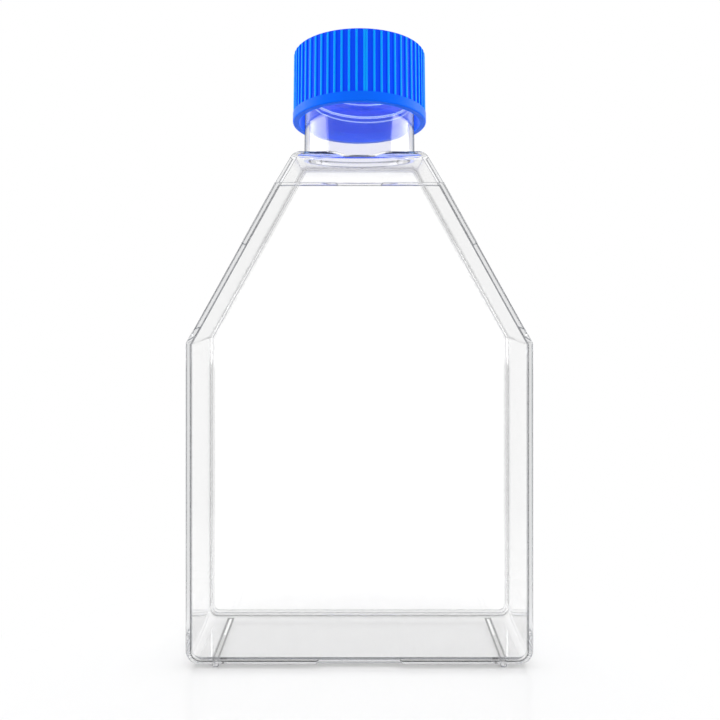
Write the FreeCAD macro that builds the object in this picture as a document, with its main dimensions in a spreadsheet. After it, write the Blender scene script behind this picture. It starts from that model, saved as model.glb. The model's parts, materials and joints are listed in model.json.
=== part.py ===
import FreeCAD, Part
import math
import os
import re
import Sketcher

# Cell culture flask with a tilted neck and a vented screw cap, in millimetres.
# It stands on its two foot ribs: +Z up, +X to the right, and -Y towards the growth plate.
# The origin lies on the surface it stands on, in the middle of its width and of its depth.

SIZES = [
    ("body_width", 84.0, "across the two side walls"),
    ("body_depth", 38.4, "growth plate's outer face to the back edge of the walls"),
    ("body_height", 124.6, "lower end wall to the upper end wall, outside"),
    ("shoulder_height", 77.5, "lower end wall to the shoulders"),
    ("taper_angle", 29.0, "slope of the shoulders, degrees off upright"),
    ("wall", 1.3, "side walls, shoulders and back panel"),
    ("end_wall", 1.05, "lower end wall"),
    ("foot_corner_radius", 3.25, "lower corners, outside"),
    ("shoulder_radius", 1.0, "shoulder corners, outside"),
    ("top_corner_radius", 2.75, "upper corners, outside"),
    ("back_edge_radius", 0.4, "back edge of the walls, outside"),
    ("stack_depth", 3.6, "back panel's outer face, in from the back edge of the walls"),
    ("panel_fillet", 1.1, "round the back panel, inside"),
    ("panel_height", 116.4, "lower end wall to the foot of the ramp"),
    ("ramp_angle", 16.0, "slope of the ramp, degrees off upright"),
    ("ramp_radius", 3.0, "edge between the ramp and the upper end wall"),
    ("rim_height", 0.94, "stacking rim, proud of the growth plate"),
    ("rim_width", 0.75, "stacking rim, across its lowest and topmost runs"),
    ("rim_side", 1.2, "stacking rim, across its side runs"),
    ("rim_edge", 0.2, "stacking rim's front edges"),
    ("plate_thickness", 1.25, "growth plate"),
    ("plate_gap", 0.04, "round and under the growth plate, at the weld"),
    ("foot_notch", 20.8, "gap in the rim at the lower end wall"),
    ("top_notch", 11.5, "gap in the rim at the foot of the ramp"),
    ("side_notch_start", 80.9, "gap in the rim on each shoulder: its lower end"),
    ("side_notch_end", 101.8, "gap in the rim on each shoulder: its upper end"),
    ("notch_lead", 1.6, "run of a gap's slanted ends"),
    ("foot_spacing", 70.0, "between the middles of the two foot ribs"),
    ("foot_width", 1.6, "foot rib, across"),
    ("foot_height", 1.05, "foot rib, below the lower end wall"),
    ("foot_length", 31.5, "foot rib, from the front"),
    ("foot_radius", 0.5, "foot rib's lower edges"),
    ("neck_tilt", 10.5, "neck's lean to the back, degrees"),
    ("neck_setback", 16.5, "growth plate to the neck's axis, at the upper end wall"),
    ("neck_radius", 14.2, "neck, outside"),
    ("neck_wall", 1.1, "neck's wall"),
    ("neck_length", 26.2, "upper end wall to the neck's lip, along its axis"),
    ("neck_root", 4.0, "neck's run inside the upper end wall, before the cavity is cut"),
    ("lip_radius", 0.4, "lip's edges"),
    ("thread_lead", 5.0, "rise of the thread in one turn"),
    ("thread_depth", 0.8, "neck's thread, proud of the neck"),
    ("thread_root", 1.9, "thread's width at its foot"),
    ("thread_crest", 1.0, "thread's width at its crest"),
    ("thread_sink", 0.15, "thread's foot, below the surface that carries it"),
    ("thread_start", 12.5, "upper end wall to the thread's start, along the neck"),
    ("thread_turns", 2.2, "turns of the neck's thread"),
    ("cap_height", 19.1, "cap, along its axis"),
    ("cap_top", 1.6, "cap's top wall"),
    ("cap_bore", 15.55, "radius inside the skirt"),
    ("band_radius", 17.3, "plain band at the cap's mouth"),
    ("band_height", 2.4, "plain band, along the axis"),
    ("band_edge", 0.35, "band's outer edge"),
    ("skirt_radius", 16.78, "skirt between its ribs"),
    ("cap_edge", 1.2, "cap's upper edge"),
    ("edge_lap", 0.06, "round upper edge's start, outside the ribs' crests"),
    ("rib_radius", 0.42, "rib's half-round bead"),
    ("rib_count", 56, "ribs beside the twin one"),
    ("twin_rib_place", 5.0, "middle of the twin rib, degrees to the right of the front"),
    ("twin_rib_pitch", 1.8, "degrees between the twin rib's two crests"),
    ("twin_rib_gap", 7.38, "degrees from the twin rib's middle to the next rib"),
    ("lip_gap", 0.3, "lip to the cap's ceiling"),
    ("plug_gap", 0.3, "plug ring to the neck's bore, radial"),
    ("plug_length", 4.2, "plug ring, below the ceiling"),
    ("plug_wall", 1.1, "plug ring's wall"),
    ("cap_thread_gap", 0.35, "cap's thread to the neck, radial"),
    ("thread_play", 0.1, "cap's thread to the neck's, along the axis, root against root"),
    ("cap_thread_turns", 1.4, "turns of the cap's thread"),
    ("vent_radius", 0.8, "vent hole"),
    ("vent_circle", 5.5, "radius of the circle of vent holes"),
    ("vent_count", 6, "vent holes"),
    ("membrane_thickness", 0.25, "vent membrane"),
    ("membrane_gap", 0.3, "membrane to the plug ring, radial"),
    ("membrane_lift", 0.05, "membrane to the ceiling"),
]

doc = FreeCAD.newDocument("culture_flask")
sheet = doc.addObject("Spreadsheet::Sheet", "Sizes")
for row, (alias, number, meaning) in enumerate(SIZES, start=1):
    sheet.set(f"A{row}", meaning)
    sheet.set(f"B{row}", str(number))
    sheet.setAlias(f"B{row}", alias)
doc.recompute()

ALIASES = re.compile(r"\b(" + "|".join(alias for alias, _, _ in SIZES) + r")\b")


def linked(formula):
    """A formula of plain size names, as an expression on the sheet."""
    return ALIASES.sub(r"Sizes.\1", formula)


def value(formula):
    """What a formula of size names comes to now, as a plain number."""
    result = sheet.evalExpression(linked(formula))
    return float(getattr(result, "Value", result))


# ---- formulas that several pieces share --------------------------------------------------

FRONT = "((rim_height - body_depth) / 2)"
BACK = "((rim_height + body_depth) / 2)"
UNDERSIDE = "foot_height"
SHOULDER = "(foot_height + shoulder_height)"
TOP = "(foot_height + body_height)"
RAMP_FOOT = "(foot_height + panel_height)"
NECK_Y = f"({FRONT} + neck_setback)"
CAP_STAND = "(neck_length + lip_gap - (cap_height - cap_top))"
NECK_BORE = "(neck_radius - neck_wall)"
PLUG_RADIUS = "(neck_radius - neck_wall - plug_gap)"
CEILING = "(cap_height - cap_top)"
CAP_THREAD = (f"(thread_start + thread_lead - {CAP_STAND}"
              " - (thread_root + thread_crest) / 2 - thread_play)")


def half_width(height, inset="0"):
    """Half the body's width at a height on the shoulders, as a formula, inside an inset."""
    slope = f"({height} - {SHOULDER}) * tan(taper_angle)"
    return f"(body_width / 2 - {slope} - ({inset}) / cos(taper_angle))"


def shoulder_height(inset="0"):
    """Height of the shoulder corner, as a formula, inside an inset."""
    return f"({SHOULDER} - ({inset}) * tan(taper_angle / 2))"


# ---- sketches and features ---------------------------------------------------------------

def new_body(name):
    body = doc.addObject("PartDesign::Body", name)
    body.Label = name
    return body


def new_sketch(body, name, plane, offset="0", turn="0", move=("0", "0")):
    """A sketch on one of the body's own planes, moved in it, turned in it and lifted off it."""
    sketch = body.newObject("Sketcher::SketchObject", name)
    support = next(item for item in body.Origin.OriginFeatures if item.Role == plane)
    sketch.AttachmentSupport = [(support, "")]
    sketch.MapMode = "FlatFace"
    sketch.AttachmentOffset = FreeCAD.Placement(
        FreeCAD.Vector(value(move[0]), value(move[1]), value(offset)),
        FreeCAD.Rotation(FreeCAD.Vector(0, 0, 1), value(turn)))
    sketch.setExpression("AttachmentOffset.Base.x", linked(move[0]))
    sketch.setExpression("AttachmentOffset.Base.y", linked(move[1]))
    sketch.setExpression("AttachmentOffset.Base.z", linked(offset))
    sketch.setExpression("AttachmentOffset.Rotation.Angle", linked(turn))
    return sketch


def bind(sketch, kind, places, formula):
    """One driving constraint of a sketch, tied to a formula of sizes."""
    index = sketch.addConstraint(Sketcher.Constraint(kind, *places, value(formula)))
    sketch.setExpression(f"Constraints[{index}]", linked(formula))


def add_outline(sketch, corners):
    """A closed outline of straight sides through (x, y) corners, or (x, y, radius) rounded ones."""
    points = [FreeCAD.Vector(value(corner[0]), value(corner[1]), 0) for corner in corners]
    count = len(corners)
    first = sketch.GeometryCount
    reach = []
    for k, corner in enumerate(corners):
        before = (points[k - 1] - points[k]).normalize()
        after = (points[(k + 1) % count] - points[k]).normalize()
        half = before.getAngle(after) / 2
        radius = value(corner[2]) if len(corner) > 2 else 0
        reach.append((before, after, half, radius, radius / math.tan(half)))
    for k in range(count):
        start = points[k] + reach[k][1] * reach[k][4]
        end = points[(k + 1) % count] + reach[(k + 1) % count][0] * reach[(k + 1) % count][4]
        sketch.addGeometry(Part.LineSegment(start, end), False)
    for k, corner in enumerate(corners):
        side_in = first + (k - 1) % count
        side_out = first + k
        if len(corner) == 2:
            sketch.addConstraint(Sketcher.Constraint("Coincident", side_in, 2, side_out, 1))
            bind(sketch, "DistanceX", (-1, 1, side_out, 1), corner[0])
            bind(sketch, "DistanceY", (-1, 1, side_out, 1), corner[1])
        else:
            round_corner(sketch, points[k], reach[k], side_in, side_out, corner)


def round_corner(sketch, point, reach, side_in, side_out, corner):
    """An arc between two sides, with its sharp corner held by a construction point."""
    before, after, half, radius, _ = reach
    centre = point + (before + after).normalize() * (radius / math.sin(half))
    from_centre = [point + side * (radius / math.tan(half)) - centre for side in (before, after)]
    angles = [math.atan2(arm.y, arm.x) for arm in from_centre]
    forward = from_centre[0].x * from_centre[1].y > from_centre[0].y * from_centre[1].x
    start, end = angles if forward else reversed(angles)
    circle = Part.Circle(centre, FreeCAD.Vector(0, 0, 1), radius)
    arc = sketch.addGeometry(Part.ArcOfCircle(circle, start, end), False)
    sharp = sketch.addGeometry(Part.Point(point), True)
    sketch.addConstraint(Sketcher.Constraint("PointOnObject", sharp, 1, side_in))
    sketch.addConstraint(Sketcher.Constraint("PointOnObject", sharp, 1, side_out))
    bind(sketch, "DistanceX", (-1, 1, sharp, 1), corner[0])
    bind(sketch, "DistanceY", (-1, 1, sharp, 1), corner[1])
    near, far = (1, 2) if forward else (2, 1)
    sketch.addConstraint(Sketcher.Constraint("Tangent", side_in, 2, arc, near))
    sketch.addConstraint(Sketcher.Constraint("Tangent", arc, far, side_out, 1))
    bind(sketch, "Radius", (arc,), corner[2])


def add_circle(sketch, across, up, radius):
    """One circle, its centre and radius formulas of sizes."""
    centre = FreeCAD.Vector(value(across), value(up), 0)
    circle = sketch.addGeometry(Part.Circle(centre, FreeCAD.Vector(0, 0, 1), value(radius)), False)
    bind(sketch, "DistanceX", (-1, 1, circle, 3), across)
    bind(sketch, "DistanceY", (-1, 1, circle, 3), up)
    bind(sketch, "Radius", (circle,), radius)


def grow(body, kind, name, sketch, length, away=False):
    """A pad or pocket of a sketch, its length a formula of sizes."""
    feature = body.newObject(f"PartDesign::{kind}", name)
    feature.Profile = sketch
    feature.Reversed = away
    feature.setExpression("Length", linked(length))
    doc.recompute()
    return feature


def spin(body, kind, name, sketch):
    """A full turn of a sketch about its own upright axis."""
    feature = body.newObject(f"PartDesign::{kind}", name)
    feature.Profile = sketch
    feature.ReferenceAxis = (sketch, ["V_Axis"])
    feature.Angle = 360
    doc.recompute()
    return feature


def add_thread(body, name, sketch, turns):
    """A right-hand thread that carries a sketch's section round and up its upright axis."""
    helix = body.newObject("PartDesign::AdditiveHelix", name)
    helix.Profile = sketch
    helix.ReferenceAxis = (sketch, ["V_Axis"])
    helix.Mode = "pitch-turns-angle"
    helix.HasBeenEdited = True
    helix.setExpression("Pitch", linked("thread_lead"))
    helix.setExpression("Turns", linked(turns))
    doc.recompute()
    return helix


def repeat(body, name, feature, count, pitch):
    """Copies of a feature round the body's upright axis, a fixed angle apart."""
    pattern = body.newObject("PartDesign::PolarPattern", name)
    pattern.Originals = [feature]
    axis = next(item for item in body.Origin.OriginFeatures if item.Role == "Z_Axis")
    pattern.Axis = (axis, [""])
    pattern.Mode = "Spacing"
    pattern.setExpression("Occurrences", linked(count))
    pattern.setExpression("Offset", linked(pitch))
    body.Tip = pattern
    doc.recompute()
    return pattern


def soften(body, name, radius, wanted):
    """A fillet on those edges of the body's tip for which wanted(edge) is true."""
    tip = body.Tip
    edges = [f"Edge{n}" for n, edge in enumerate(tip.Shape.Edges, start=1) if wanted(edge)]
    fillet = body.newObject("PartDesign::Fillet", name)
    fillet.Base = (tip, edges)
    fillet.setExpression("Radius", linked(radius))
    doc.recompute()
    return fillet


# ---- the flask: outlines -----------------------------------------------------------------

def body_outline(inset, floor, top, corner, shoulder, crown):
    """The flask's front view inside an inset, from a floor to a top, with its corner radii."""
    side = f"(body_width / 2 - ({inset}))"
    at_top = half_width(top, inset)
    knee = shoulder_height(inset)
    return [
        (f"-{side}", floor, corner),
        (side, floor, corner),
        (side, knee, shoulder),
        (at_top, top, crown),
        (f"-{at_top}", top, crown),
        (f"-{side}", knee, shoulder),
    ]


def panel_outline(side, end):
    """The front panel's outline, inset at its sides and ends: its upper corners are sharp."""
    rounded = body_outline(
        side, f"({UNDERSIDE} + ({end}))", f"({RAMP_FOOT} - ({end}))",
        f"max(foot_corner_radius - ({end}); 0.2)", "shoulder_radius", "shoulder_radius")
    return [corner[:2] if k in (3, 4) else corner for k, corner in enumerate(rounded)]


def ramp_outline(inset):
    """What the ramp takes off a block, in side view: all that is outside the ramp and its edge."""
    ramp_y = f"({FRONT} + ({inset}) / cos(ramp_angle))"
    top = f"({TOP} - ({inset}))"
    crest_y = f"({ramp_y} + ({top} - {RAMP_FOOT}) * tan(ramp_angle))"
    below = f"({RAMP_FOOT} - wall)"
    below_y = f"({ramp_y} - wall * tan(ramp_angle))"
    return [
        (below_y, below),
        (crest_y, top, f"max(ramp_radius - ({inset}); 0.2)"),
        (BACK, top),
        (BACK, f"({TOP} + wall)"),
        (f"({FRONT} - wall)", f"({TOP} + wall)"),
        (f"({FRONT} - wall)", below),
    ]


# ---- flask_shell -------------------------------------------------------------------------

def inner_outline():
    """The flask's front view inside its walls."""
    return body_outline(
        "wall", f"({UNDERSIDE} + end_wall)", f"({TOP} - wall)",
        "max(foot_corner_radius - wall; 0.2)", "max(shoulder_radius - wall; 0.3)",
        "max(top_corner_radius - wall; 0.2)")


def make_cavity():
    """The hollow of the flask: the space behind the growth plate, and the neck's bore."""
    body = new_body("cavity")
    section = new_sketch(body, "cavity_section", "XZ_Plane", f"-({FRONT} + plate_thickness)")
    add_outline(section, inner_outline())
    grow(body, "Pad", "cavity_block", section,
         "body_depth - stack_depth - wall - plate_thickness", away=True)
    slope = new_sketch(body, "cavity_slope", "YZ_Plane", "-body_width")
    add_outline(slope, ramp_outline("wall"))
    grow(body, "Pocket", "cavity_ramp", slope, "2 * body_width", away=True)
    panel_y = value(f"{BACK} - stack_depth - wall")
    soften(body, "cavity_back_edges", "panel_fillet",
           lambda edge: all(abs(v.Y - panel_y) < 1e-6 for v in edge.Vertexes))
    bore = new_sketch(body, "bore_section", "YZ_Plane", turn="-neck_tilt", move=(NECK_Y, TOP))
    add_outline(bore, [
        ("0", "-neck_root"),
        (NECK_BORE, "-neck_root"),
        (NECK_BORE, "neck_length + lip_gap"),
        ("0", "neck_length + lip_gap"),
    ])
    spin(body, "Revolution", "bore", bore)
    return body


def notch_outlines():
    """The gaps in the stacking rim, in front view: below, above and on the two shoulders."""
    outlines = []
    for middle, run, inner, outer in (
            (UNDERSIDE, "foot_notch", "rim_width", "-rim_width"),
            (RAMP_FOOT, "top_notch", "-rim_width", "rim_width")):
        outlines.append([
            (f"-({run} / 2 + notch_lead / 2)", f"({middle} + 1.5 * ({outer}))"),
            (f"({run} / 2 + notch_lead / 2)", f"({middle} + 1.5 * ({outer}))"),
            (f"({run} / 2 - notch_lead / 2)", f"({middle} + 1.5 * ({inner}))"),
            (f"-({run} / 2 - notch_lead / 2)", f"({middle} + 1.5 * ({inner}))"),
        ])
    low = f"({UNDERSIDE} + side_notch_start)"
    high = f"({UNDERSIDE} + side_notch_end)"
    reach = "(1.5 * rim_side)"
    for sign in ("", "-"):
        corners = [
            (half_width(f"({low} - notch_lead / 2)", f"-{reach}"), f"({low} - notch_lead / 2)"),
            (half_width(f"({high} + notch_lead / 2)", f"-{reach}"), f"({high} + notch_lead / 2)"),
            (half_width(f"({high} - notch_lead / 2)", reach), f"({high} - notch_lead / 2)"),
            (half_width(f"({low} + notch_lead / 2)", reach), f"({low} + notch_lead / 2)"),
        ]
        outlines.append([(f"{sign}{across}", up) for across, up in corners])
    return outlines


def make_shell():
    """The flask's one moulding: walls, ramp, neck with thread, rim and foot ribs."""
    cavity = make_cavity()
    body = new_body("flask_shell")

    outline = new_sketch(body, "outline", "XZ_Plane", f"-({FRONT})")
    add_outline(outline, body_outline(
        "0", UNDERSIDE, TOP, "foot_corner_radius", "shoulder_radius", "top_corner_radius"))
    grow(body, "Pad", "block", outline, "body_depth", away=True)

    slope = new_sketch(body, "slope", "YZ_Plane", "-body_width")
    add_outline(slope, ramp_outline("0"))
    grow(body, "Pocket", "ramp", slope, "2 * body_width", away=True)

    back_y = value(BACK)
    soften(body, "back_edges", "back_edge_radius",
           lambda edge: all(abs(v.Y - back_y) < 1e-6 for v in edge.Vertexes))

    recess = new_sketch(body, "recess_section", "XZ_Plane", f"-({BACK})")
    add_outline(recess, inner_outline())
    grow(body, "Pocket", "stack_recess", recess, "stack_depth", away=True)

    neck = new_sketch(body, "neck_section", "YZ_Plane", turn="-neck_tilt", move=(NECK_Y, TOP))
    add_outline(neck, [
        ("0", "-neck_root"),
        ("neck_radius", "-neck_root"),
        ("neck_radius", "neck_length", "lip_radius"),
        ("0", "neck_length"),
    ])
    spin(body, "Revolution", "neck", neck)

    ribs = new_sketch(body, "foot_section", "XZ_Plane", f"-({FRONT})")
    for sign in ("", "-"):
        inner = f"{sign}(foot_spacing / 2 - foot_width / 2)"
        outer = f"{sign}(foot_spacing / 2 + foot_width / 2)"
        add_outline(ribs, [
            (inner, "0", "foot_radius"),
            (outer, "0", "foot_radius"),
            (outer, f"{UNDERSIDE} + end_wall / 2"),
            (inner, f"{UNDERSIDE} + end_wall / 2"),
        ])
    grow(body, "Pad", "foot_ribs", ribs, "foot_length", away=True)

    rim = new_sketch(body, "rim_section", "XZ_Plane", f"-({FRONT})")
    add_outline(rim, panel_outline("0", "0"))
    add_outline(rim, panel_outline("rim_side", "rim_width"))
    grow(body, "Pad", "rim", rim, "rim_height")
    rim_y = value(f"{FRONT} - rim_height")
    soften(body, "rim_edges", "rim_edge",
           lambda edge: all(abs(v.Y - rim_y) < 1e-6 for v in edge.Vertexes))

    cut = body.newObject("PartDesign::Boolean", "hollow")
    cut.setObjects([cavity])
    cut.Type = "Cut"
    doc.recompute()

    seat = new_sketch(body, "seat_section", "XZ_Plane", f"-({FRONT})")
    add_outline(seat, panel_outline("rim_side", "rim_width"))
    grow(body, "Pocket", "plate_seat", seat, "plate_thickness + plate_gap")

    gaps = new_sketch(body, "notch_section", "XZ_Plane", f"-({FRONT})")
    for corners in notch_outlines():
        add_outline(gaps, corners)
    grow(body, "Pocket", "rim_notches", gaps, "2 * rim_height", away=True)

    turn = new_sketch(body, "thread_section", "YZ_Plane", turn="-neck_tilt", move=(NECK_Y, TOP))
    add_outline(turn, [
        ("-(neck_radius - thread_sink)", "thread_start - thread_root / 2"),
        ("-(neck_radius + thread_depth)", "thread_start - thread_crest / 2"),
        ("-(neck_radius + thread_depth)", "thread_start + thread_crest / 2"),
        ("-(neck_radius - thread_sink)", "thread_start + thread_root / 2"),
    ])
    add_thread(body, "neck_thread", turn, "thread_turns")
    return body


# ---- growth_plate ------------------------------------------------------------------------

def make_plate():
    """The growth plate: it drops into the shell's front seat, inside the rim."""
    body = new_body("growth_plate")
    outline = new_sketch(body, "plate_outline", "XZ_Plane", f"-({FRONT})")
    add_outline(outline, panel_outline("rim_side + plate_gap", "rim_width + plate_gap"))
    grow(body, "Pad", "plate", outline, "plate_thickness", away=True)
    return body


# ---- screw_cap and vent_membrane ---------------------------------------------------------

def seat_on_neck(body):
    """Places a body, made upright on its own origin, on the neck's axis at the cap's mouth."""
    body.Placement = FreeCAD.Placement(
        FreeCAD.Vector(0, 0, 0), FreeCAD.Rotation(FreeCAD.Vector(1, 0, 0), -value("neck_tilt")))
    body.setExpression("Placement.Base.y", linked(f"{NECK_Y} + {CAP_STAND} * sin(neck_tilt)"))
    body.setExpression("Placement.Base.z", linked(f"{TOP} + {CAP_STAND} * cos(neck_tilt)"))
    body.setExpression("Placement.Rotation.Angle", linked("-neck_tilt"))


def add_rib(body, name, place):
    """One upright rib of the skirt, a half-round bead, at a number of degrees from the front."""
    section = new_sketch(body, f"{name}_section", "XY_Plane", "band_height / 2",
                         turn=f"{place} + 90")
    add_circle(section, "-skirt_radius", "0", "rib_radius")
    return grow(body, "Pad", name, section, "cap_height - band_height / 2")


def make_cap():
    """The cap: ribbed skirt, plain band, top with vent holes, plug ring and thread."""
    body = new_body("screw_cap")
    solid = new_sketch(body, "cap_section", "XZ_Plane")
    add_outline(solid, [
        ("0", "0"),
        ("band_radius", "0", "band_edge"),
        ("band_radius", "band_height"),
        ("skirt_radius", "band_height"),
        ("skirt_radius", "cap_height"),
        ("0", "cap_height"),
    ])
    spin(body, "Revolution", "cap_block", solid)

    inside = new_sketch(body, "inside_section", "XZ_Plane")
    add_outline(inside, [
        ("0", "-cap_top"),
        ("cap_bore", "-cap_top"),
        ("cap_bore", CEILING),
        (PLUG_RADIUS, CEILING),
        (PLUG_RADIUS, f"{CEILING} - plug_length"),
        (f"{PLUG_RADIUS} - plug_wall", f"{CEILING} - plug_length"),
        (f"{PLUG_RADIUS} - plug_wall", CEILING),
        ("0", CEILING),
    ])
    spin(body, "Groove", "inside", inside)

    hole = new_sketch(body, "vent_section", "XY_Plane", "cap_height + cap_top")
    add_circle(hole, "0", "vent_circle", "vent_radius")
    vent = grow(body, "Pocket", "vent", hole, "3 * cap_top")
    repeat(body, "vents", vent, "vent_count", "360 / vent_count")

    turn = new_sketch(body, "cap_thread_section", "YZ_Plane")
    crest = "(neck_radius + cap_thread_gap)"
    add_outline(turn, [
        ("-(cap_bore + thread_sink)", f"{CAP_THREAD} - thread_root / 2"),
        ("-(cap_bore + thread_sink)", f"{CAP_THREAD} + thread_root / 2"),
        (f"-{crest}", f"{CAP_THREAD} + thread_crest / 2"),
        (f"-{crest}", f"{CAP_THREAD} - thread_crest / 2"),
    ])
    add_thread(body, "cap_thread", turn, "cap_thread_turns")

    rib = add_rib(body, "rib", "twin_rib_place + twin_rib_gap")
    repeat(body, "ribs", rib, "rib_count", "(360 - 2 * twin_rib_gap) / (rib_count - 1)")
    add_rib(body, "twin_rib_left", "twin_rib_place - twin_rib_pitch / 2")
    add_rib(body, "twin_rib_right", "twin_rib_place + twin_rib_pitch / 2")

    crest = "(skirt_radius + rib_radius + edge_lap)"
    crown = "(cap_height + edge_lap)"
    trim = new_sketch(body, "edge_section", "XZ_Plane")
    add_outline(trim, [
        (f"{crest} + cap_edge", f"{crown} - 2 * cap_edge"),
        (f"{crest} + cap_edge", f"{crown} + cap_edge"),
        (f"{crest} - 2 * cap_edge", f"{crown} + cap_edge"),
        (f"{crest} - 2 * cap_edge", crown),
        (crest, crown, "cap_edge"),
        (crest, f"{crown} - 2 * cap_edge"),
    ])
    spin(body, "Groove", "upper_edge", trim)
    seat_on_neck(body)
    return body


def make_membrane():
    """The round filter disc under the cap's vent holes, inside the plug ring."""
    body = new_body("vent_membrane")
    disc = new_sketch(body, "membrane_section", "XY_Plane",
                      f"{CEILING} - membrane_lift - membrane_thickness")
    add_circle(disc, "0", "0", f"{PLUG_RADIUS} - plug_wall - membrane_gap")
    grow(body, "Pad", "membrane", disc, "membrane_thickness")
    seat_on_neck(body)
    return body


# ---- build, test and write ---------------------------------------------------------------

pieces = [make_shell(), make_plate(), make_cap(), make_membrane()]
doc.recompute()

for item in doc.Objects:
    if "Invalid" in item.State or "Error" in item.State:
        raise RuntimeError(f"{item.Name} failed to build: {item.State}")
for piece in pieces:
    if piece.Shape.isNull() or not piece.Shape.isValid():
        raise RuntimeError(f"{piece.Label} is not a valid shape")
    if len(piece.Shape.Solids) != 1:
        raise RuntimeError(f"{piece.Label} has {len(piece.Shape.Solids)} solids")

os.makedirs("parts", exist_ok=True)
for piece in pieces:
    piece.Shape.exportStep(f"parts/{piece.Label}.step")
    box = piece.Shape.BoundBox
    print(f"{piece.Label}: {piece.Shape.Volume:.1f} mm3,"
          f" X {box.XMin:.2f} {box.XMax:.2f}, Y {box.YMin:.2f} {box.YMax:.2f},"
          f" Z {box.ZMin:.2f} {box.ZMax:.2f}")
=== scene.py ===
"""A clear cell culture flask with a blue vented screw cap, dressed on its CAD frame, in metres."""

import json
import math

import bmesh
import bpy
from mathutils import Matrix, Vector


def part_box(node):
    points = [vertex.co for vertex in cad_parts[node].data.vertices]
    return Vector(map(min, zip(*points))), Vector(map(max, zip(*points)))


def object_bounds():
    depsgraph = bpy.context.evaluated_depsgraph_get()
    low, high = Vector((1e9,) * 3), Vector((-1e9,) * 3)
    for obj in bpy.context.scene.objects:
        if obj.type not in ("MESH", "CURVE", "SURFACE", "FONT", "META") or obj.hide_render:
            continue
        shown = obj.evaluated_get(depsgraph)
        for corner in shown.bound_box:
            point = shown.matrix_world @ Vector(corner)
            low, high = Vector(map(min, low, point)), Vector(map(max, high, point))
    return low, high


bl_info = {
    "name": "Cell Culture Flask",
    "version": (1, 0, 0),
    "blender": (4, 5, 0),
    "location": "3D View > Sidebar > Flask",
    "description": "Finishes for a clear culture flask, its cap and its membrane, with a stage",
    "category": "Object",
}

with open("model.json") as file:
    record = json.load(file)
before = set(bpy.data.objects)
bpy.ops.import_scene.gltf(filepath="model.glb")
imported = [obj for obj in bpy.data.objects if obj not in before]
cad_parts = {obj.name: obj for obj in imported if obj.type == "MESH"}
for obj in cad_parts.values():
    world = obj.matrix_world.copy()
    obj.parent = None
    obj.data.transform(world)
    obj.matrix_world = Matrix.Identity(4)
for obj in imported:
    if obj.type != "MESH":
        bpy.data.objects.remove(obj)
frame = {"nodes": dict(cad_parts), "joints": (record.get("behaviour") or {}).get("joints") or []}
CAD_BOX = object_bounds()

SHELL = "flask_shell"
PLATE = "growth_plate"
CAP = "screw_cap"
MEMBRANE = "vent_membrane"

JOINTS = {joint["name"]: joint for joint in frame["joints"]}
CAP_AXIS = Vector(JOINTS["cap_turn"]["axis"]).normalized()
CAP_MOUTH = Vector(JOINTS["cap_turn"]["pos_m"])

# Finish of the moulded faces: noise that every moulding shares
MOULD_SCALE = 70.0
MOULD_DETAIL = 1.5
MOULD_ROUGHNESS = 0.45
MASK_GAIN = 2.4
MASK_OFFSET = -0.7

# Clear plastic: where its painted dark edge lines, its painted dark outline and the neck's painted
# glow start and end
EDGE_SAMPLES = 4
EDGE_OPENNESS = (0.75, 0.95)
OUTLINE_BLEND = 0.5
OUTLINE_FULL = 0.97
GLOW_RISE = 0.001

# Cap: painted highlight and shade of its ribs, borders of its band and of its hollow's painted
# glow, and its fine grain
RIB_SHADING = (0.45, 1.0)
BAND_BORDER = (-0.0001, 0.0003)
HOLLOW_BORDER = 0.0001
CAP_INDEX = 1.5
GRAIN_SCALE = 900.0
GRAIN_STRENGTH = 0.25
GRAIN_HEIGHT = 0.00004

# Membrane: its fibres
FIBRE_SCALE = 2500.0
FIBRE_PALE = 0.9
FIBRE_SHADING = (0.2, 0.8)
FIBRE_ROUGHNESS = 0.85
FIBRE_STRENGTH = 0.4
FIBRE_HEIGHT = 0.00003

# Stage: sine of the bearing over which the near side brightens, reflections over which the
# surroundings fade, the table's polish, the camera's sensor in millimetres and its near limit,
# and the bounces that let light cross the walls of the flask
NEAR_SIDE = (-0.55, 0.25)
FADING_REFLECTIONS = 2.0
POLISH_ROUGHNESS = 0.06
SENSOR_WIDTH = 36.0
CLIP_START = 0.01
BOUNCES = {"max_bounces": 32, "glossy_bounces": 12, "transmission_bounces": 24,
           "transparent_max_bounces": 16}


# ---- sizes and colours that a user would change ------------------------------------------

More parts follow.
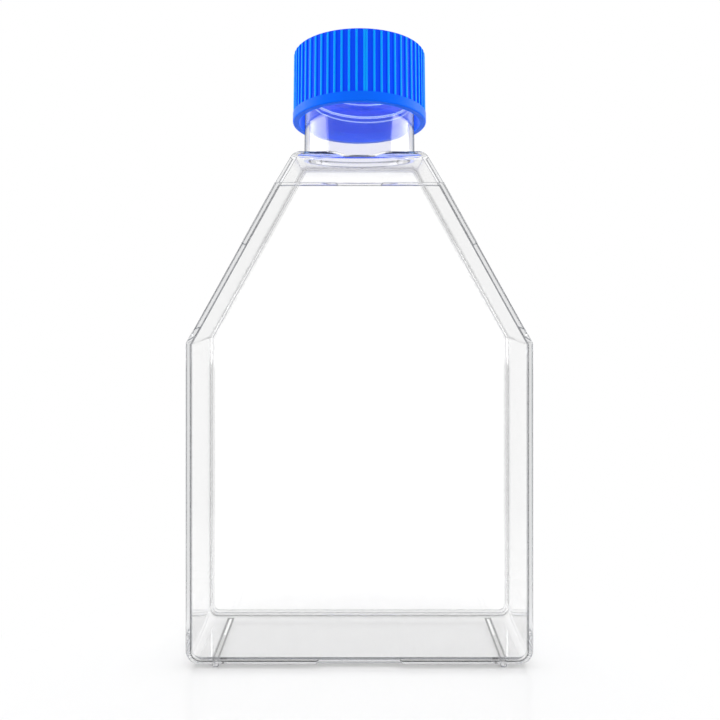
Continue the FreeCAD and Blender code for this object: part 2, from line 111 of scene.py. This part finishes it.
class PlasticSettings(bpy.types.PropertyGroup):
    """The clear polystyrene of the shell and the growth plate."""
    tint: bpy.props.FloatVectorProperty(
        name="Tint", description="Colour of light that passes a surface square on",
        subtype="COLOR", size=3, min=0.0, max=1.0, default=(1.0, 1.0, 1.0))
    # Painted shade: a dark colour painted along the edges, in place of the dark lines that
    # refraction draws there
    edge_painted_shade: bpy.props.FloatVectorProperty(
        name="Edge tint", description="Colour of light that passes close to an edge",
        subtype="COLOR", size=3, min=0.0, max=1.0, default=(0.15, 0.16, 0.18))
    # Painted shade: the neck is painted greyer just below the cap
    neck_painted_shade: bpy.props.FloatVectorProperty(
        name="Neck tint", description="Colour of light that passes a surface of the neck",
        subtype="COLOR", size=3, min=0.0, max=1.0, default=(0.8, 0.8, 0.86))
    # Where the neck's painted shade starts and where it is full
    neck_foot: bpy.props.FloatProperty(
        name="Neck foot", description="Where the neck's tint starts, below the cap's mouth",
        unit="LENGTH", min=0.0, max=0.1, default=0.0095)
    neck_full: bpy.props.FloatProperty(
        name="Neck full", description="Where the neck's tint is full, below the cap's mouth",
        unit="LENGTH", min=0.0, max=0.1, default=0.0065)
    face_shade: bpy.props.FloatVectorProperty(
        name="Face shade", description="Light left in the shadow of a flat face",
        subtype="COLOR", size=3, min=0.0, max=1.0, default=(1.0, 1.0, 1.0))
    edge_shade: bpy.props.FloatVectorProperty(
        name="Edge shade", description="Light left in the shadow of an edge",
        subtype="COLOR", size=3, min=0.0, max=1.0, default=(0.1, 0.1, 0.1))
    # Painted highlight: a glow painted on the neck's edges inside the cap, where the plastic is no
    # lamp
    neck_painted_glow: bpy.props.FloatVectorProperty(
        name="Capped glow", description="Light that the neck's edges gather inside the cap",
        subtype="COLOR", size=3, min=0.0, max=1.0, default=(0.3, 0.5, 0.9))
    # Painted shade: a darker outline painted where the surface turns away from the eye
    outline_painted_shade: bpy.props.FloatVectorProperty(
        name="Rim tint", description="Colour of the plastic where it turns away from the eye",
        subtype="COLOR", size=3, min=0.0, max=1.0, default=(0.4, 0.41, 0.43))
    rim_start: bpy.props.FloatProperty(
        name="Rim start", description="How far the plastic turns away before it darkens",
        min=0.0, max=1.0, default=0.6)
    shade_reach: bpy.props.FloatProperty(
        name="Shade reach", description="How far from an edge its shadow runs",
        unit="LENGTH", min=0.0, max=0.01, default=0.0012)
    # Reach of the painted dark edge lines
    edge_reach: bpy.props.FloatProperty(
        name="Edge reach", description="How far from an edge its darker line runs",
        unit="LENGTH", min=0.0, max=0.01, default=0.00022)
    depth_tint: bpy.props.FloatVectorProperty(
        name="Depth tint", description="Colour that a long way through the plastic takes on",
        subtype="COLOR", size=3, min=0.0, max=1.0, default=(0.55, 0.58, 0.62))
    density: bpy.props.FloatProperty(
        name="Density", description="How fast the plastic darkens with depth, per metre",
        min=0.0, max=200.0, default=4.0)
    index: bpy.props.FloatProperty(
        name="Index", description="Index of refraction of polystyrene",
        min=1.0, max=2.5, default=1.59)
    roughness: bpy.props.FloatProperty(
        name="Roughness", description="Roughness of the moulded faces",
        min=0.0, max=1.0, default=0.0)
    ripple_size: bpy.props.FloatProperty(
        name="Ripple size", description="Distance from wave to wave of the moulding's faint ripple",
        unit="LENGTH", min=0.001, max=0.1, default=0.014)
    ripple_height: bpy.props.FloatProperty(
        name="Ripple height", description="Height of the moulding's faint ripple",
        unit="LENGTH", min=0.0, max=0.001, default=0.000001)


class CapSettings(bpy.types.PropertyGroup):
    """The blue cap and the white membrane in it."""
    # Painted highlight: the ribs' crests are painted a lighter blue
    crest_painted_highlight: bpy.props.FloatVectorProperty(
        name="Crest colour", description="Blue of the ribs' crests, where the plastic is thin",
        subtype="COLOR", size=3, min=0.0, max=1.0, default=(0.0, 0.36, 1.0))
    body_colour: bpy.props.FloatVectorProperty(
        name="Body colour", description="Blue of the band and the top",
        subtype="COLOR", size=3, min=0.0, max=1.0, default=(0.0, 0.14, 1.0))
    # Painted shade: between the ribs and inside the cap the blue is painted deeper
    groove_painted_shade: bpy.props.FloatVectorProperty(
        name="Groove colour", description="Blue between the ribs and inside the cap",
        subtype="COLOR", size=3, min=0.0, max=1.0, default=(0.0, 0.08, 1.0))
    roughness: bpy.props.FloatProperty(
        name="Roughness", description="Roughness of the satin moulding",
        min=0.0, max=1.0, default=0.32)
    sheen_level: bpy.props.FloatProperty(
        name="Sheen level", description="How strongly the satin moulding reflects",
        min=0.0, max=1.0, default=0.07)
    groove_radius: bpy.props.FloatProperty(
        name="Groove radius", description="Radius of the skirt between its ribs",
        unit="LENGTH", min=0.001, max=0.1, default=0.01678)
    crest_radius: bpy.props.FloatProperty(
        name="Crest radius", description="Radius over the crests of the ribs",
        unit="LENGTH", min=0.001, max=0.1, default=0.01720)
    band_top: bpy.props.FloatProperty(
        name="Band top", description="Top of the plain band over the cap's mouth",
        unit="LENGTH", min=0.0, max=0.1, default=0.0024)
    hollow_radius: bpy.props.FloatProperty(
        name="Hollow radius", description="Radius of the cap's hollow",
        unit="LENGTH", min=0.001, max=0.1, default=0.0157)
    # Painted glow in the cap's hollow, in place of light through its wall; the cap is no lamp
    hollow_painted_glow: bpy.props.FloatVectorProperty(
        name="Hollow glow", description="Light that comes through the cap's wall into its hollow",
        subtype="COLOR", size=3, min=0.0, max=1.0, default=(0.0, 0.06, 0.65))
    # Painted reflection: the same painted glow where the clear plastic mirrors it
    painted_reflected_glow: bpy.props.FloatVectorProperty(
        name="Reflected glow", description="The same light where the clear plastic mirrors it",
        subtype="COLOR", size=3, min=0.0, max=1.0, default=(0.5, 0.54, 0.72))
    membrane_colour: bpy.props.FloatVectorProperty(
        name="Membrane colour", description="White of the porous film",
        subtype="COLOR", size=3, min=0.0, max=1.0, default=(0.9, 0.9, 0.88))


class StageSettings(bpy.types.PropertyGroup):
    """Floor, light and camera."""
    floor_size: bpy.props.FloatProperty(
        name="Floor size", description="Side of the square floor",
        unit="LENGTH", min=0.1, max=20.0, default=6.0)
    floor_colour: bpy.props.FloatVectorProperty(
        name="Floor colour", description="Pale floor, where the light falls on it unshaded",
        subtype="COLOR", size=3, min=0.0, max=1.0, default=(0.68, 0.68, 0.68))
    shadow_reach: bpy.props.FloatProperty(
        name="Shadow reach", description="Distance from the flask at which its shadow is gone",
        unit="LENGTH", min=0.01, max=2.0, default=0.1)
    shadow_forward: bpy.props.FloatProperty(
        name="Shadow forward", description="How far in front of the flask its shadow is centred",
        unit="LENGTH", min=0.0, max=1.0, default=0.03)
    floor_index: bpy.props.FloatProperty(
        name="Floor index", description="Index of refraction of the table's polish",
        min=1.0, max=2.5, default=1.35)
    sky_strength: bpy.props.FloatProperty(
        name="Sky strength", description="Soft light from all round",
        min=0.0, max=5.0, default=0.95)
    front_strength: bpy.props.FloatProperty(
        name="Front strength", description="Brightness of the surroundings on the near side",
        min=0.0, max=1.0, default=0.35)
    through_plastic: bpy.props.FloatProperty(
        name="Through plastic", description="Brightness of the surroundings seen in the plastic",
        min=0.0, max=2.0, default=1.17)
    once_reflected: bpy.props.FloatProperty(
        name="Once reflected", description="Brightness of the surroundings after one reflection",
        min=0.0, max=1.0, default=0.85)
    often_reflected: bpy.props.FloatProperty(
        name="Often reflected",
        description="Brightness of the surroundings after several reflections",
        min=0.0, max=1.0, default=0.72)
    softbox_radiance: bpy.props.FloatProperty(
        name="Softbox radiance", description="Brightness of the two softboxes' faces",
        min=0.0, max=50.0, default=3.0)
    softbox_width: bpy.props.FloatProperty(
        name="Softbox width", description="Width of a softbox",
        unit="LENGTH", min=0.01, max=5.0, default=0.9)
    softbox_height: bpy.props.FloatProperty(
        name="Softbox height", description="Height of a softbox",
        unit="LENGTH", min=0.01, max=5.0, default=0.9)
    softbox_distance: bpy.props.FloatProperty(
        name="Softbox distance", description="Distance of a softbox from the flask",
        unit="LENGTH", min=0.1, max=10.0, default=0.9)
    softbox_bearing: bpy.props.FloatProperty(
        name="Softbox bearing", description="Bearing of a softbox, off the front",
        subtype="ANGLE", min=0.0, max=math.pi, default=math.radians(100))
    rear_rise: bpy.props.FloatProperty(
        name="Rear rise", description="Height angle of the lamp behind the flask",
        subtype="ANGLE", min=0.0, max=math.pi / 2, default=math.radians(24))
    rear_distance: bpy.props.FloatProperty(
        name="Rear distance", description="Distance of the lamp behind the flask",
        unit="LENGTH", min=0.1, max=10.0, default=1.0)
    rear_size: bpy.props.FloatProperty(
        name="Rear size", description="Side of the lamp behind the flask",
        unit="LENGTH", min=0.01, max=5.0, default=0.3)
    rear_radiance: bpy.props.FloatProperty(
        name="Rear radiance", description="Brightness of the lamp behind the flask",
        min=0.0, max=100.0, default=33.0)
    camera_distance: bpy.props.FloatProperty(
        name="Camera distance", description="Camera to the growth plate",
        unit="LENGTH", min=0.05, max=5.0, default=0.248)
    camera_height: bpy.props.FloatProperty(
        name="Camera height", description="Camera above the floor",
        unit="LENGTH", min=0.0, max=5.0, default=0.09265)
    camera_lens: bpy.props.FloatProperty(
        name="Camera lens", description="Focal length on a 36 mm wide sensor, in millimetres",
        min=10.0, max=300.0, default=51.15)
    shift_across: bpy.props.FloatProperty(
        name="Shift across", description="Lens shift across, as a share of the frame",
        min=-1.0, max=1.0, default=0.0008)
    shift_up: bpy.props.FloatProperty(
        name="Shift up", description="Lens shift up, as a share of the frame",
        min=-1.0, max=1.0, default=-0.1042)


# ---- node helpers ------------------------------------------------------------------------

def new_material(name):
    """An empty node material with its output."""
    material = bpy.data.materials.new(name)
    material.use_nodes = True
    tree = material.node_tree
    tree.nodes.clear()
    return material, tree, tree.nodes.new("ShaderNodeOutputMaterial")


def rgba(colour):
    """A colour with full alpha."""
    return (*colour, 1.0)


def add_node(tree, kind, sockets=None, **properties):
    """A node with some of its properties and unlinked sockets set."""
    node = tree.nodes.new(kind)
    for name, value in properties.items():
        setattr(node, name, value)
    for name, value in (sockets or {}).items():
        node.inputs[name].default_value = value
    return node


def add_math(tree, operation, *sources, clamp=False):
    """A Math node fed by sockets or plain numbers; returns its output."""
    node = add_node(tree, "ShaderNodeMath", operation=operation, use_clamp=clamp)
    for socket, source in zip(node.inputs, sources):
        if isinstance(source, bpy.types.NodeSocket):
            tree.links.new(source, socket)
        else:
            socket.default_value = source
    return node.outputs[0]


def add_range(tree, source, low, high, smooth=False, low_value=0.0, high_value=1.0):
    """A Map Range node, clamped at both ends; returns its result."""
    node = add_node(tree, "ShaderNodeMapRange",
                    {"From Min": low, "From Max": high, "To Min": low_value, "To Max": high_value},
                    interpolation_type="SMOOTHSTEP" if smooth else "LINEAR")
    tree.links.new(source, node.inputs["Value"])
    return node.outputs["Result"]


def add_ramp(tree, factor, low, high, low_colour, high_colour):
    """A two-stop colour ramp on a factor; returns its colour."""
    ramp = tree.nodes.new("ShaderNodeValToRGB")
    stops = zip(ramp.color_ramp.elements, (low, high), (low_colour, high_colour))
    for stop, position, colour in stops:
        stop.position = position
        stop.color = rgba(colour)
    tree.links.new(factor, ramp.inputs["Fac"])
    return ramp.outputs["Color"]


def add_blend(tree, factor, first, second):
    """A colour blended from one to the other by a factor; returns its colour."""
    blend = add_node(tree, "ShaderNodeMix", data_type="RGBA")
    tree.links.new(factor, blend.inputs[0])
    for socket, source in ((blend.inputs[6], first), (blend.inputs[7], second)):
        if isinstance(source, bpy.types.NodeSocket):
            tree.links.new(source, socket)
        else:
            socket.default_value = rgba(source)
    return blend.outputs[2]


def add_bump(tree, height, strength, distance):
    """A Bump node on a height; returns its normal."""
    bump = add_node(tree, "ShaderNodeBump", {"Strength": strength, "Distance": distance})
    tree.links.new(height, bump.inputs["Height"])
    return bump.outputs["Normal"]


def add_shader_mix(tree, factor, first, second):
    """A Mix Shader node from one shader to the other; returns its shader."""
    mix = tree.nodes.new("ShaderNodeMixShader")
    for socket, source in zip(mix.inputs, (factor, first, second)):
        tree.links.new(source, socket)
    return mix.outputs["Shader"]


def mould_texture_group():
    """Shared group: the faint unevenness of a moulded face, as a height and a mask."""
    name = "moulded_face"
    if name in bpy.data.node_groups:
        return bpy.data.node_groups[name]
    group = bpy.data.node_groups.new(name, "ShaderNodeTree")
    group.interface.new_socket("Position", in_out="INPUT", socket_type="NodeSocketVector")
    scale = group.interface.new_socket("Scale", in_out="INPUT", socket_type="NodeSocketFloat")
    scale.default_value = MOULD_SCALE
    group.interface.new_socket("Height", in_out="OUTPUT", socket_type="NodeSocketFloat")
    group.interface.new_socket("Mask", in_out="OUTPUT", socket_type="NodeSocketFloat")
    source = group.nodes.new("NodeGroupInput")
    result = group.nodes.new("NodeGroupOutput")
    noise = add_node(group, "ShaderNodeTexNoise",
                     {"Detail": MOULD_DETAIL, "Roughness": MOULD_ROUGHNESS})
    group.links.new(source.outputs["Position"], noise.inputs["Vector"])
    group.links.new(source.outputs["Scale"], noise.inputs["Scale"])
    group.links.new(noise.outputs["Fac"], result.inputs["Height"])
    mask = add_math(group, "MULTIPLY_ADD", noise.outputs["Fac"], MASK_GAIN, MASK_OFFSET,
                    clamp=True)
    group.links.new(mask, result.inputs["Mask"])
    return group


def add_mould_texture(tree, position, scale):
    """The shared group, placed in a material; returns its height and its mask."""
    node = tree.nodes.new("ShaderNodeGroup")
    node.node_tree = mould_texture_group()
    tree.links.new(position, node.inputs["Position"])
    node.inputs["Scale"].default_value = scale
    return node.outputs["Height"], node.outputs["Mask"]


def add_edge_mask(tree, reach, convex):
    """One on open faces, falling to nothing along the solid's convex or concave edges."""
    open_sky = add_node(tree, "ShaderNodeAmbientOcclusion", {"Distance": reach},
                        inside=convex, only_local=True, samples=EDGE_SAMPLES)
    return add_range(tree, open_sky.outputs["AO"], *EDGE_OPENNESS, smooth=True)


def place_on_cap(tree):
    """Distance from the cap's axis, height over its mouth at rest, and place, as sockets."""
    place = tree.nodes.new("ShaderNodeTexCoord")
    upright = CAP_AXIS.rotation_difference(Vector((0, 0, 1)))
    centre = add_node(tree, "ShaderNodeMapping",
                      {"Location": upright @ -CAP_MOUTH, "Rotation": upright.to_euler()},
                      vector_type="POINT")
    tree.links.new(place.outputs["Object"], centre.inputs["Vector"])
    parts = tree.nodes.new("ShaderNodeSeparateXYZ")
    tree.links.new(centre.outputs["Vector"], parts.inputs["Vector"])
    across = add_math(tree, "MULTIPLY", parts.outputs["X"], parts.outputs["X"])
    along = add_math(tree, "MULTIPLY", parts.outputs["Y"], parts.outputs["Y"])
    radius = add_math(tree, "SQRT", add_math(tree, "ADD", across, along))
    return radius, parts.outputs["Z"], place.outputs["Object"]


def dress(node_name, material):
    """Gives a CAD node's object one material."""
    mesh = frame["nodes"][node_name].data
    mesh.materials.clear()
    mesh.materials.append(material)


# ---- materials ---------------------------------------------------------------------------

def dress_edges(tree, shader, settings):
    """Paints shade on the shell along its edges and on its neck, and paints a glow on the neck's
    edges under the cap.
    """
    # Painted shade: darker colour along the edges, and on the neck just below the cap
    edges = add_math(tree, "MULTIPLY", add_edge_mask(tree, settings.edge_reach, True),
                     add_edge_mask(tree, settings.edge_reach, False))
    _, height, _ = place_on_cap(tree)
    neck = add_range(tree, height, -settings.neck_foot, -settings.neck_full)
    face = add_blend(tree, neck, settings.tint, settings.neck_painted_shade)
    tree.links.new(add_blend(tree, edges, settings.edge_painted_shade, face), shader.inputs["Base Color"])
    # Painted highlight: glow on the neck's edges above the cap's mouth
    lit = add_math(tree, "MULTIPLY", add_range(tree, height, 0.0, GLOW_RISE),
                   add_math(tree, "SUBTRACT", 1.0, edges))
    glow = add_ramp(tree, lit, 0.0, 1.0, (0.0, 0.0, 0.0), settings.neck_painted_glow)
    tree.links.new(glow, shader.inputs["Emission Color"])
    shader.inputs["Emission Strength"].default_value = 1.0


def clear_polystyrene(name, settings, edged):
    """Clear moulded polystyrene: glass-like, with a painted dark outline, and a faint ripple."""
    material, tree, output = new_material(name)
    shader = add_node(tree, "ShaderNodeBsdfPrincipled", {
        "Base Color": rgba(settings.tint), "Metallic": 0.0, "Roughness": settings.roughness,
        "IOR": settings.index, "Transmission Weight": 1.0})
    if edged:
        dress_edges(tree, shader, settings)
    place = tree.nodes.new("ShaderNodeTexCoord")
    ripple, _ = add_mould_texture(tree, place.outputs["Object"], 1.0 / settings.ripple_size)
    tree.links.new(add_bump(tree, ripple, 1.0, settings.ripple_height), shader.inputs["Normal"])

    # Light on its way to a shadow or a matt face goes straight through, less of it at edges.
    path = tree.nodes.new("ShaderNodeLightPath")
    straight = add_math(tree, "MAXIMUM", path.outputs["Is Shadow Ray"],
                        path.outputs["Is Diffuse Ray"])
    shade = add_ramp(tree, add_edge_mask(tree, settings.shade_reach, True), 0.0, 1.0,
                     settings.edge_shade, settings.face_shade)
    clear = tree.nodes.new("ShaderNodeBsdfTransparent")
    tree.links.new(shade, clear.inputs["Color"])
    plastic = add_shader_mix(tree, straight, shader.outputs["BSDF"], clear.outputs["BSDF"])

    # Where the surface turns away from the eye, its outline gets painted shade, for camera rays
    # only.
    facing = add_node(tree, "ShaderNodeLayerWeight", {"Blend": OUTLINE_BLEND})
    turned = add_range(tree, facing.outputs["Facing"], settings.rim_start, OUTLINE_FULL,
                       smooth=True)
    rim = add_node(tree, "ShaderNodeBsdfTransparent", {"Color": rgba(settings.outline_painted_shade)})
    seen = add_math(tree, "MULTIPLY", turned, path.outputs["Is Camera Ray"])
    outlined = add_shader_mix(tree, seen, plastic, rim.outputs["BSDF"])
    tree.links.new(outlined, output.inputs["Surface"])
    depth = add_node(tree, "ShaderNodeVolumeAbsorption",
                     {"Color": rgba(settings.depth_tint), "Density": settings.density})
    tree.links.new(depth.outputs["Volume"], output.inputs["Volume"])
    return material


def cap_blue(settings):
    """Blue satin plastic with a painted highlight on the ribs' crests, painted shade between them
    and a painted glow in its hollow.
    """
    material, tree, output = new_material("cap_blue")
    radius, height, place = place_on_cap(tree)
    span = settings.crest_radius - settings.groove_radius
    proud = add_math(tree, "SUBTRACT", radius, settings.groove_radius)
    rise = add_math(tree, "DIVIDE", proud, span, clamp=True)
    # Painted highlight on the crests and painted shade in the grooves and the hollow
    ribbed = add_ramp(tree, rise, *RIB_SHADING, settings.groove_painted_shade, settings.crest_painted_highlight)
    skirt = add_range(tree, height, *(settings.band_top + border for border in BAND_BORDER))
    colour = add_blend(tree, skirt, settings.body_colour, ribbed)
    shader = add_node(tree, "ShaderNodeBsdfPrincipled", {
        "Roughness": settings.roughness, "IOR": CAP_INDEX,
        "Specular IOR Level": settings.sheen_level, "Emission Strength": 1.0})
    tree.links.new(colour, shader.inputs["Base Color"])
    # Painted glow in the hollow, and its painted reflection seen in the clear plastic
    within = add_range(tree, radius, settings.hollow_radius + HOLLOW_BORDER,
                       settings.hollow_radius - HOLLOW_BORDER)
    path = tree.nodes.new("ShaderNodeLightPath")
    reflected = add_math(tree, "MINIMUM", path.outputs["Glossy Depth"], 1.0)
    hollow = add_blend(tree, reflected, settings.hollow_painted_glow, settings.painted_reflected_glow)
    glow = add_blend(tree, within, (0.0, 0.0, 0.0), hollow)
    tree.links.new(glow, shader.inputs["Emission Color"])
    grain, _ = add_mould_texture(tree, place, GRAIN_SCALE)
    tree.links.new(add_bump(tree, grain, GRAIN_STRENGTH, GRAIN_HEIGHT), shader.inputs["Normal"])
    tree.links.new(shader.outputs["BSDF"], output.inputs["Surface"])
    return material


def membrane_white(settings):
    """White porous film: matt, with a fine uneven weave of fibres."""
    material, tree, output = new_material("membrane_white")
    place = tree.nodes.new("ShaderNodeTexCoord")
    fibres, mask = add_mould_texture(tree, place.outputs["Object"], FIBRE_SCALE)
    shader = add_node(tree, "ShaderNodeBsdfPrincipled", {"Roughness": FIBRE_ROUGHNESS})
    pale = tuple(FIBRE_PALE * part for part in settings.membrane_colour)
    colour = add_ramp(tree, mask, *FIBRE_SHADING, pale, settings.membrane_colour)
    tree.links.new(colour, shader.inputs["Base Color"])
    tree.links.new(add_bump(tree, fibres, FIBRE_STRENGTH, FIBRE_HEIGHT), shader.inputs["Normal"])
    tree.links.new(shader.outputs["BSDF"], output.inputs["Surface"])
    return material


def add_view_brightness(tree, settings, direction):
    """Brightness of the white surroundings for rays that look, and which rays those are.

    It is one for the eye, more through the plastic, and falls with each reflection, most of
    all on the near side. The direction is the Y of a unit vector, negative on that side.
    """
    path = tree.nodes.new("ShaderNodeLightPath")
    through = add_math(tree, "MAXIMUM", path.outputs["Is Glossy Ray"],
                       path.outputs["Is Transmission Ray"])
    looking = add_math(tree, "MAXIMUM", path.outputs["Is Camera Ray"], through)
    reflections = path.outputs["Glossy Depth"]
    reflected = add_math(tree, "MINIMUM", reflections, 1.0)
    further = add_math(tree, "MAXIMUM", add_math(tree, "SUBTRACT", reflections, 1.0), 0.0)
    fading = add_math(tree, "MINIMUM", further, FADING_REFLECTIONS)
    bright = add_math(tree, "MULTIPLY_ADD", reflected, settings.once_reflected - 1.0, 1.0)
    fade = (settings.often_reflected - settings.once_reflected) / FADING_REFLECTIONS
    bright = add_math(tree, "MULTIPLY_ADD", fading, fade, bright)
    lift = add_math(tree, "MULTIPLY_ADD", through, settings.through_plastic - 1.0, 1.0)
    bright = add_math(tree, "MULTIPLY", bright, lift)
    near_loss = add_range(tree, direction, *NEAR_SIDE, smooth=True,
                          low_value=1.0 - settings.front_strength, high_value=0.0)
    loss = add_math(tree, "MULTIPLY", reflected, near_loss)
    bright = add_math(tree, "MULTIPLY", bright, add_math(tree, "SUBTRACT", 1.0, loss))
    return add_math(tree, "MULTIPLY", looking, bright), looking


def floor_white(settings):
    """A white table: round the flask it keeps shadows, and further off it meets the sky."""
    material, tree, output = new_material("floor_white")
    matt = add_node(tree, "ShaderNodeBsdfDiffuse", {"Color": rgba(settings.floor_colour)})
    gloss = add_node(tree, "ShaderNodeBsdfAnisotropic", {"Roughness": POLISH_ROUGHNESS})
    polish = add_node(tree, "ShaderNodeFresnel", {"IOR": settings.floor_index})
    table = add_shader_mix(tree, polish.outputs["Fac"], matt.outputs["BSDF"],
                           gloss.outputs["BSDF"])
    place = tree.nodes.new("ShaderNodeNewGeometry")
    forward = add_node(tree, "ShaderNodeVectorMath", {1: (0.0, settings.shadow_forward, 0.0)},
                       operation="ADD")
    tree.links.new(place.outputs["Position"], forward.inputs[0])
    away = add_node(tree, "ShaderNodeVectorMath", operation="LENGTH")
    tree.links.new(forward.outputs["Vector"], away.inputs[0])
    bearing = add_node(tree, "ShaderNodeVectorMath", operation="NORMALIZE")
    tree.links.new(place.outputs["Position"], bearing.inputs[0])
    parts = tree.nodes.new("ShaderNodeSeparateXYZ")
    tree.links.new(bearing.outputs["Vector"], parts.inputs["Vector"])
    brightness, looking = add_view_brightness(tree, settings, parts.outputs["Y"])
    distance = tree.nodes.new("ShaderNodeEmission")
    tree.links.new(brightness, distance.inputs["Strength"])
    beyond = add_range(tree, away.outputs["Value"], settings.shadow_reach / 2,
                       settings.shadow_reach, smooth=True)
    floor = add_shader_mix(tree, add_math(tree, "MULTIPLY", beyond, looking), table,
                           distance.outputs["Emission"])
    tree.links.new(floor, output.inputs["Surface"])
    return material


# ---- stage -------------------------------------------------------------------------------

def lay_floor(settings):
    """The white table that the flask stands on."""
    mesh = bpy.data.meshes.new("floor")
    shape = bmesh.new()
    bmesh.ops.create_grid(shape, x_segments=1, y_segments=1, size=settings.floor_size / 2)
    shape.to_mesh(mesh)
    shape.free()
    floor = bpy.data.objects.new("floor", mesh)
    bpy.context.scene.collection.objects.link(floor)
    mesh.materials.append(floor_white(settings))


def light_world(scene, settings):
    """White surroundings to look at, and a soft sky that lights the flask and the floor."""
    world = bpy.data.worlds.new("studio")
    scene.world = world
    world.use_nodes = True
    tree = world.node_tree
    tree.nodes.clear()
    output = tree.nodes.new("ShaderNodeOutputWorld")
    place = tree.nodes.new("ShaderNodeTexCoord")
    parts = tree.nodes.new("ShaderNodeSeparateXYZ")
    tree.links.new(place.outputs["Generated"], parts.inputs["Vector"])
    brightness, looking = add_view_brightness(tree, settings, parts.outputs["Y"])
    sky = add_math(tree, "MULTIPLY", add_math(tree, "SUBTRACT", 1.0, looking),
                   settings.sky_strength)
    background = add_node(tree, "ShaderNodeBackground", {"Color": rgba((1.0, 1.0, 1.0))})
    tree.links.new(add_math(tree, "ADD", brightness, sky), background.inputs["Strength"])
    tree.links.new(background.outputs["Background"], output.inputs["Surface"])


def hang_lamp(name, bearing, rise, distance, width, height, radiance):
    """A rectangular lamp at a bearing off the front, aimed at the middle of the flask."""
    target = Vector((0.0, 0.0, CAD_BOX[1][2] / 2))
    level = math.cos(rise)
    away = Vector((math.sin(bearing) * level, -math.cos(bearing) * level, math.sin(rise)))
    data = bpy.data.lights.new(name, "AREA")
    data.shape = "RECTANGLE"
    data.size = width
    data.size_y = height
    data.energy = radiance * math.pi * width * height
    lamp = bpy.data.objects.new(name, data)
    lamp.location = target + away * distance
    lamp.rotation_euler = (-away).to_track_quat("-Z", "Y").to_euler()
    bpy.context.scene.collection.objects.link(lamp)
    return lamp


def hang_lamps(settings):
    """A softbox on each side, and a lamp behind that the plastic and the polish don't show."""
    for name, side in (("softbox_left", -1.0), ("softbox_right", 1.0)):
        hang_lamp(name, side * settings.softbox_bearing, 0.0, settings.softbox_distance,
                  settings.softbox_width, settings.softbox_height, settings.softbox_radiance)
    rear = hang_lamp("rear_lamp", math.pi, settings.rear_rise, settings.rear_distance,
                     settings.rear_size, settings.rear_size, settings.rear_radiance)
    rear.visible_glossy = False
    rear.visible_transmission = False


def place_camera(scene, settings):
    """The camera, level, in front of the growth plate."""
    data = bpy.data.cameras.new("camera")
    data.lens = settings.camera_lens
    data.sensor_width = SENSOR_WIDTH
    data.shift_x = settings.shift_across
    data.shift_y = settings.shift_up
    data.clip_start = CLIP_START
    camera = bpy.data.objects.new("camera", data)
    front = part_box(PLATE)[0][1]
    camera.location = (0.0, front - settings.camera_distance, settings.camera_height)
    camera.rotation_euler = (math.radians(90), 0.0, 0.0)
    scene.collection.objects.link(camera)
    scene.camera = camera


def set_view(scene):
    """The plain view transform, and enough bounces for light to cross every wall."""
    scene.view_settings.view_transform = "Standard"
    for name, count in BOUNCES.items():
        setattr(scene.cycles, name, count)


# ---- operators ---------------------------------------------------------------------------

class FLASK_OT_clear_plastic(bpy.types.Operator):
    """Finishes the shell and the growth plate in clear polystyrene"""
    bl_idname = "flask.clear_plastic"
    bl_label = "Finish Clear Plastic"

    def execute(self, context):
        settings = context.scene.flask_plastic
        dress(SHELL, clear_polystyrene("clear_polystyrene", settings, True))
        dress(PLATE, clear_polystyrene("clear_polystyrene_plate", settings, False))
        return {"FINISHED"}


class FLASK_OT_cap(bpy.types.Operator):
    """Finishes the screw cap in blue satin plastic"""
    bl_idname = "flask.cap"
    bl_label = "Finish Cap"

    def execute(self, context):
        dress(CAP, cap_blue(context.scene.flask_cap))
        return {"FINISHED"}


class FLASK_OT_membrane(bpy.types.Operator):
    """Finishes the vent membrane in white porous film"""
    bl_idname = "flask.membrane"
    bl_label = "Finish Membrane"

    def execute(self, context):
        dress(MEMBRANE, membrane_white(context.scene.flask_cap))
        return {"FINISHED"}


class FLASK_OT_stage(bpy.types.Operator):
    """Builds the floor, the light and the camera"""
    bl_idname = "flask.stage"
    bl_label = "Build Stage"

    def execute(self, context):
        settings = context.scene.flask_stage
        lay_floor(settings)
        light_world(context.scene, settings)
        hang_lamps(settings)
        place_camera(context.scene, settings)
        set_view(context.scene)
        return {"FINISHED"}


# ---- panel and registration --------------------------------------------------------------

STEPS = ("flask.clear_plastic", "flask.cap", "flask.membrane", "flask.stage")


class FLASK_PT_panel(bpy.types.Panel):
    """Lists the flask's sizes, colours and operators"""
    bl_idname = "FLASK_PT_panel"
    bl_label = "Cell Culture Flask"
    bl_space_type = "VIEW_3D"
    bl_region_type = "UI"
    bl_category = "Flask"

    def draw(self, context):
        for group in (context.scene.flask_plastic, context.scene.flask_cap,
                      context.scene.flask_stage):
            box = self.layout.box()
            for name in type(group).__annotations__:
                box.prop(group, name)
        for step in STEPS:
            self.layout.operator(step)


CLASSES = (PlasticSettings, CapSettings, StageSettings, FLASK_OT_clear_plastic, FLASK_OT_cap,
           FLASK_OT_membrane, FLASK_OT_stage, FLASK_PT_panel)


def register():
    for item in CLASSES:
        bpy.utils.register_class(item)
    bpy.types.Scene.flask_plastic = bpy.props.PointerProperty(type=PlasticSettings)
    bpy.types.Scene.flask_cap = bpy.props.PointerProperty(type=CapSettings)
    bpy.types.Scene.flask_stage = bpy.props.PointerProperty(type=StageSettings)


def unregister():
    del bpy.types.Scene.flask_stage
    del bpy.types.Scene.flask_cap
    del bpy.types.Scene.flask_plastic
    for item in reversed(CLASSES):
        bpy.utils.unregister_class(item)


def main():
    register()
    for step in STEPS:
        area, name = step.split(".")
        getattr(getattr(bpy.ops, area), name)()


if __name__ == "__main__":
    main()
